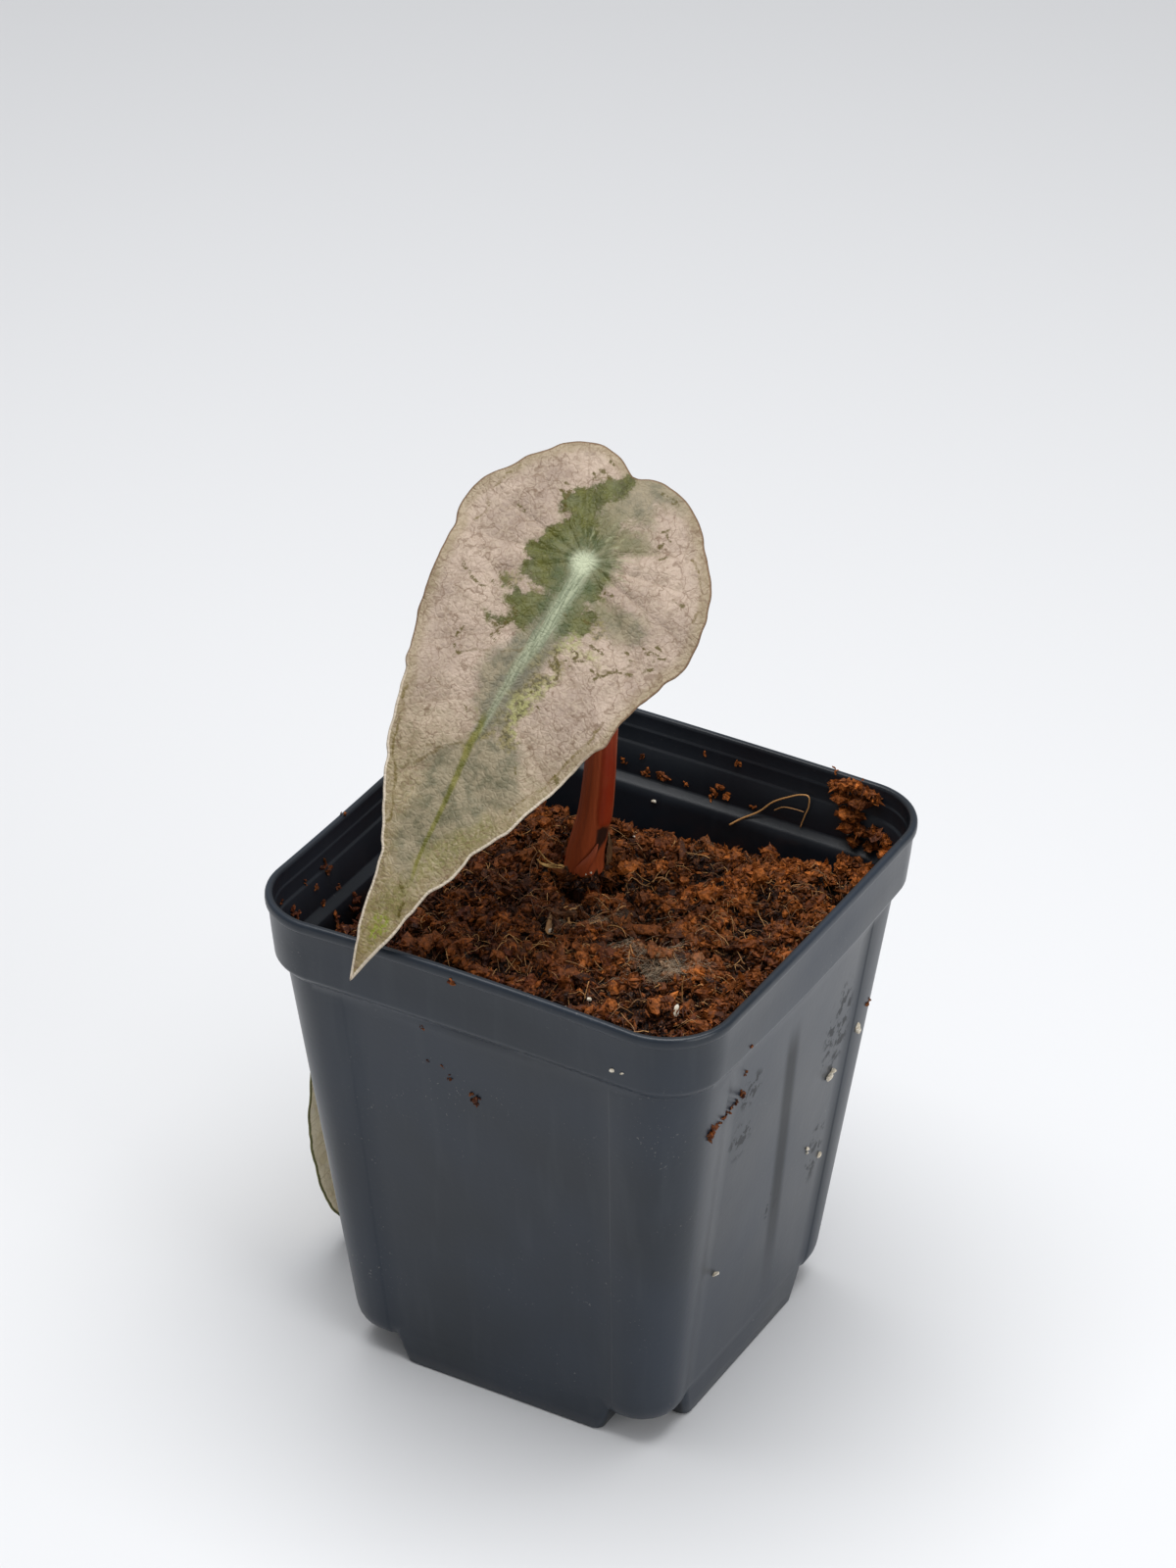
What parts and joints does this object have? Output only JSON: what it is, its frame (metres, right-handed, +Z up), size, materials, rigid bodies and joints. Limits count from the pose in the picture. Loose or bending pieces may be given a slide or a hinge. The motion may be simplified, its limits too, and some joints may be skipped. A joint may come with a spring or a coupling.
{
  "type": "potted alocasia plant",
  "caption": "Young peltate-leaved aroid in a square plastic nursery pot filled with coir, with one large variegated blade on an upright stalk and an older leaf hanging outside.",
  "frame": {"origin": "middle of the pot's flat underside, on the surface it stands on", "axes": "+Z up; -Y towards the pot's front side, over which the large blade's tip hangs; +X towards the pot's right side"},
  "size_m": [0.0966, 0.097, 0.162],
  "materials": {
    "pot": "thin injection-moulded plastic, satin, dark bluish grey",
    "soil": "crumbly reddish-brown coir",
    "crown": "dark fibrous stem base with dry sheath scales",
    "stalk": "smooth reddish-brown leaf stalk",
    "old_stalk": "smooth ageing leaf stalk",
    "blade": "pinkish cream leaf with green marbling, satin",
    "old_blade": "dull beige leaf with a dark green margin"
  },
  "bodies": {
    "root": {"pot": "pot", "soil": "soil", "crown": "crown", "stalk": "stalk", "old_stalk": "old_stalk", "blade": "blade", "old_blade": "old_blade"}
  },
  "joints": []
}
